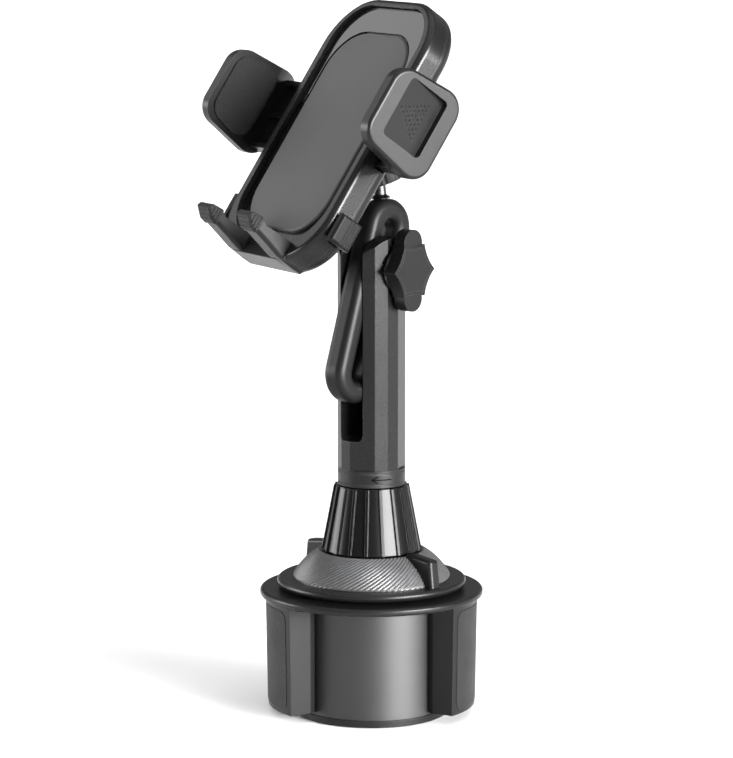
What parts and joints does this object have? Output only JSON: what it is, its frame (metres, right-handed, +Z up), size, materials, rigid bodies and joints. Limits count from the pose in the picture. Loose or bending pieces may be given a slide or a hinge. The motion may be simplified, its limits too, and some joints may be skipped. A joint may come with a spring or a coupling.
{
  "type": "car phone mount",
  "caption": "Cup-holder phone mount: expanding base, faceted post, slotted swing arm on a thumb knob, ball joint and a cradle with two rack-driven clamps.",
  "frame": {"origin": "centre of the grip pad's underside, which rests on the floor of the cup holder", "axes": "+Z up along the neck; the two expanding feet open along +X and -X; the phone's screen side leans towards -X and -Y"},
  "size_m": [0.0935, 0.1043, 0.2353],
  "materials": {
    "satin_plastic": "satin, lightly textured black",
    "bearing_plastic": "smooth dark grey acetal",
    "rubber": "matte with a fine weave",
    "silicone": "flat grey silicone",
    "gloss_plastic": "piano black",
    "steel": "zinc plated",
    "black_steel": "black oxide",
    "brass": "turned"
  },
  "bodies": {
    "base": {"base_drum": "satin_plastic", "bottom_ring": "satin_plastic", "grip_pad": "rubber", "flange_plate": "satin_plastic", "neck_post": "satin_plastic", "floor_screws": "steel"},
    "dial": {"dial": "satin_plastic", "cam_disc": "bearing_plastic"},
    "foot_right": {"expander_foot_right": "satin_plastic", "foot_pad_right": "rubber", "cam_pin_right": "steel"},
    "foot_left": {"expander_foot_left": "satin_plastic", "foot_pad_left": "rubber", "cam_pin_left": "steel"},
    "collar": {"lock_collar": "satin_plastic"},
    "column": {"column_post": "satin_plastic", "arrow_band": "satin_plastic", "clamp_bolt": "black_steel", "pivot_washer": "black_steel"},
    "knob": {"clamp_knob": "satin_plastic", "knob_insert": "brass", "knob_cap": "satin_plastic"},
    "slider": {"slot_bush": "bearing_plastic"},
    "arm": {"slotted_arm": "satin_plastic", "ball_stud": "black_steel"},
    "ball": {"ball": "black_steel"},
    "liner": {"ball_liner": "bearing_plastic"},
    "cradle": {"back_cover": "satin_plastic", "front_shell": "satin_plastic", "face_pad": "silicone", "top_panel": "gloss_plastic", "cover_screws": "steel", "pinion_pin": "steel", "button_spring_left": "steel", "button_spring_right": "steel"},
    "ball_nut": {"ball_nut": "satin_plastic"},
    "clamp_right": {"clamp_arm_right": "satin_plastic", "clamp_shell_right": "satin_plastic", "clamp_pad_right": "rubber"},
    "clamp_left": {"clamp_arm_left": "satin_plastic", "clamp_shell_left": "satin_plastic", "clamp_pad_left": "rubber"},
    "pinion": {"pinion": "bearing_plastic"},
    "button_right": {"release_button_right": "satin_plastic"},
    "button_left": {"release_button_left": "satin_plastic"},
    "support": {"support_foot": "satin_plastic", "hook_pad_left": "rubber", "hook_pad_right": "rubber"}
  },
  "joints": [
    {"name": "dial_turn", "type": "hinge", "parent": "base", "child": "dial", "pos_m": [0, 0, 0.0446], "axis": [0, 0, 1], "range_deg": [0, 150]},
    {"name": "foot_right_slide", "type": "slide", "parent": "base", "child": "foot_right", "axis": [1, 0, 0], "range_m": [0, 0.008]},
    {"name": "foot_left_slide", "type": "slide", "parent": "base", "child": "foot_left", "axis": [-1, 0, 0], "range_m": [0, 0.008]},
    {"name": "collar_turn", "type": "hinge", "parent": "base", "child": "collar", "pos_m": [0, 0, 0.066], "axis": [0, 0, 1], "range_deg": [0, 60]},
    {"name": "column_swivel", "type": "hinge", "parent": "base", "child": "column", "pos_m": [0, 0, 0.08], "axis": [0, 0, 1], "continuous": true},
    {"name": "knob_turn", "type": "hinge", "parent": "column", "child": "knob", "pos_m": [0.00107, 0.00119, 0.1488], "axis": [0.7431, -0.6691, 0], "range_deg": [0, 180]},
    {"name": "arm_pivot", "type": "hinge", "parent": "column", "child": "slider", "pos_m": [0.00107, 0.00119, 0.1488], "axis": [-0.7431, 0.6691, 0], "range_deg": [-12, 60]},
    {"name": "arm_slide", "type": "slide", "parent": "slider", "child": "arm", "axis": [0.2123, 0.2358, 0.9483], "range_m": [0, 0.033]},
    {"name": "ball_turn", "type": "hinge", "parent": "arm", "child": "ball", "pos_m": [0.00202, 0.00425, 0.18225], "axis": [-0.0854, 0, 0.9963], "range_deg": [-60, 60]},
    {"name": "ball_tilt", "type": "hinge", "parent": "ball", "child": "liner", "pos_m": [0.00202, 0.00425, 0.18225], "axis": [0.5414, -0.8406, -0.0159], "range_deg": [-38, 5]},
    {"name": "cradle_roll", "type": "hinge", "parent": "liner", "child": "cradle", "pos_m": [0.00202, 0.00425, 0.18225], "axis": [0.2945, 0.2074, -0.9329], "range_deg": [-45, 45]},
    {"name": "ball_nut_turn", "type": "hinge", "parent": "cradle", "child": "ball_nut", "pos_m": [0.00202, 0.00425, 0.18225], "axis": [0.2945, 0.2074, -0.9329], "range_deg": [0, 90]},
    {"name": "clamp_right_slide", "type": "slide", "parent": "cradle", "child": "clamp_right", "axis": [-0.5414, 0.8406, 0.0159], "range_m": [0, 0.0157]},
    {"name": "clamp_left_slide", "type": "slide", "parent": "cradle", "child": "clamp_left", "axis": [0.5414, -0.8406, -0.0159], "range_m": [0, 0.0157]},
    {"name": "pinion_turn", "type": "hinge", "parent": "cradle", "child": "pinion", "pos_m": [-0.00765, -0.00221, 0.19489], "axis": [-0.6929, -0.4569, 0.5577], "range_deg": [-226.9, 0]},
    {"name": "support_slide", "type": "slide", "parent": "cradle", "child": "support", "axis": [-0.4761, -0.2909, -0.8299], "range_m": [0, 0.012]},
    {"name": "button_right_press", "type": "slide", "parent": "cradle", "child": "button_right", "axis": [-0.5414, 0.8406, 0.0159], "range_m": [0, 0.0012], "stiffness_N_per_m": 900, "springref_m": -0.0006},
    {"name": "button_left_press", "type": "slide", "parent": "cradle", "child": "button_left", "axis": [0.5414, -0.8406, -0.0159], "range_m": [0, 0.0012], "stiffness_N_per_m": 900, "springref_m": -0.0006}
  ],
  "couplings": [
    {"joint": "foot_right_slide", "follows": "dial_turn", "m_per_rad": 0.0030558},
    {"joint": "foot_left_slide", "follows": "dial_turn", "m_per_rad": 0.0030558},
    {"joint": "clamp_left_slide", "follows": "clamp_right_slide", "ratio": 1},
    {"joint": "pinion_turn", "follows": "clamp_right_slide", "rad_per_m": -250}
  ]
}
